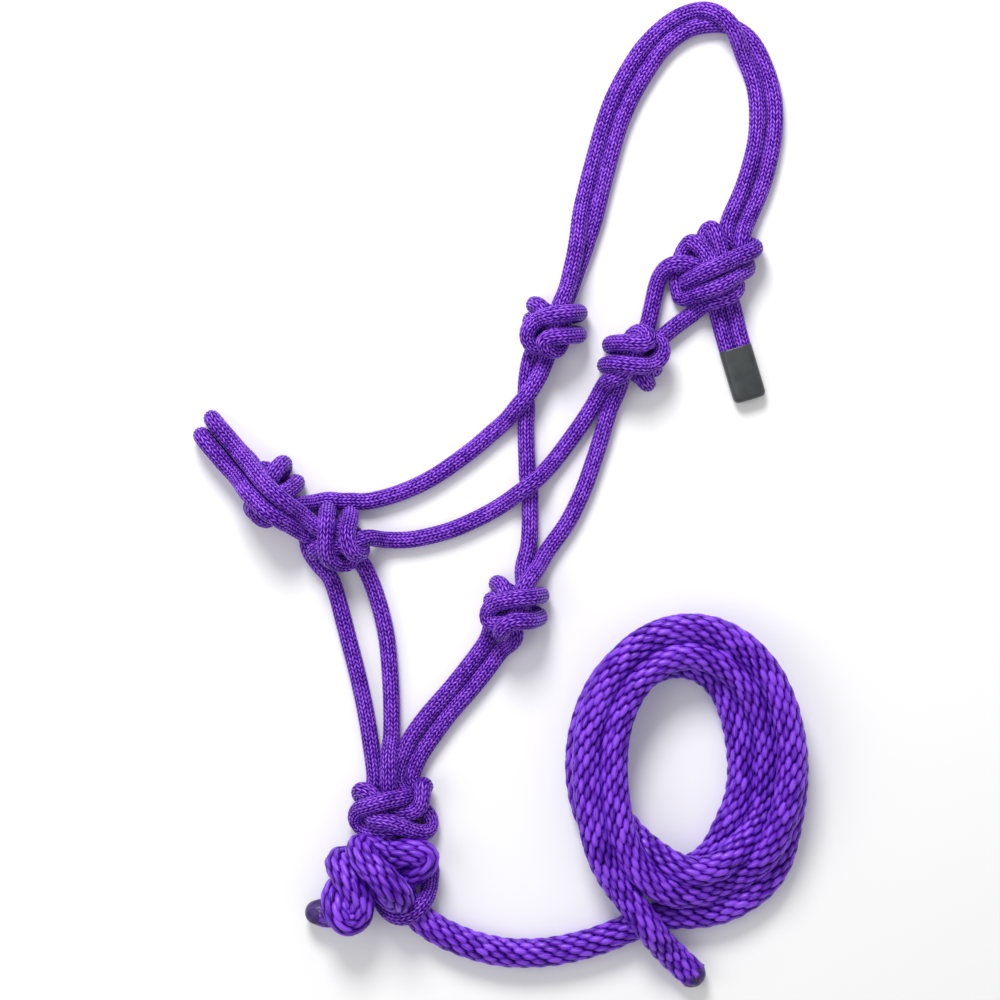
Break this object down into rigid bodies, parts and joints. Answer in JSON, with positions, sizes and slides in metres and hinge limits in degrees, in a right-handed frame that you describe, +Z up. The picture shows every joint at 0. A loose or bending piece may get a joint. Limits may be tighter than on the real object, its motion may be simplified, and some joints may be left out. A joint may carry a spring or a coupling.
{
  "type": "rope halter",
  "caption": "Knotted rope halter with its lead rope tied on, laid flat on its side with the lead coiled beside it",
  "frame": {"origin": "On the floor under the middle of the halter's own box, without the free length of lead", "axes": "+Z is up from the floor that the halter lies on. +Y runs from the lead knot to the crown. -X points to the nose."},
  "size_m": [0.3567, 0.5719, 0.0352],
  "materials": {
    "halter_cord": "satin braided polyester cord, purple",
    "lead_rope": "satin braided multifilament rope, purple",
    "melted_end": "melted and hardened rope end, dark purple",
    "sleeve_plastic": "smooth dark grey shrunk tube"
  },
  "bodies": {
    "halter": {"off_cheek_knot": "halter_cord", "near_cheek_knot": "halter_cord", "throat_knot": "halter_cord", "near_nose_knot": "halter_cord", "off_nose_knot": "halter_cord", "fiador_knot": "halter_cord", "off_cheek_cord": "halter_cord", "off_throat_cord": "halter_cord", "off_chin_cord": "halter_cord", "jaw_cord_left": "halter_cord", "jaw_cord_right": "halter_cord", "near_chin_cord": "halter_cord", "near_throat_cord": "halter_cord", "near_cheek_cord": "halter_cord", "noseband_root_lower": "halter_cord", "noseband_root_upper": "halter_cord", "fiador_loop": "halter_cord", "lead_knot": "lead_rope", "lead_stub_end": "melted_end"},
    "crown": {"crown_cord_outer": "halter_cord", "crown_cord_inner": "halter_cord", "tie_cord_left": "halter_cord", "tie_cord_right": "halter_cord", "crown_tie_knot": "halter_cord"},
    "tails": {"crown_tail_left": "halter_cord", "crown_tail_right": "halter_cord", "tail_sleeve": "sleeve_plastic"},
    "noseband": {"noseband_cord_upper": "halter_cord", "noseband_cord_lower": "halter_cord"},
    "lead": {"lead_run": "lead_rope", "lead_coil": "lead_rope", "lead_tail": "lead_rope", "lead_tip": "melted_end"}
  },
  "joints": [
    {"name": "crown_fold", "type": "hinge", "parent": "halter", "child": "crown", "pos_m": [0.073, 0.089, 0.016], "axis": [0.935, -0.3547, 0], "range_deg": [0, 90]},
    {"name": "tail_swing", "type": "hinge", "parent": "crown", "child": "tails", "pos_m": [0.137, 0.094, 0.0052], "axis": [0, 0, 1], "range_deg": [-20, 20]},
    {"name": "noseband_fold", "type": "hinge", "parent": "halter", "child": "noseband", "pos_m": [-0.141, 0, 0.024], "axis": [0.7526, 0.6585, 0], "range_deg": [0, 60]},
    {"name": "lead_swing", "type": "hinge", "parent": "halter", "child": "lead", "pos_m": [-0.0545, -0.2485, 0.0081], "axis": [0, 0, 1], "range_deg": [-30, 10]}
  ]
}
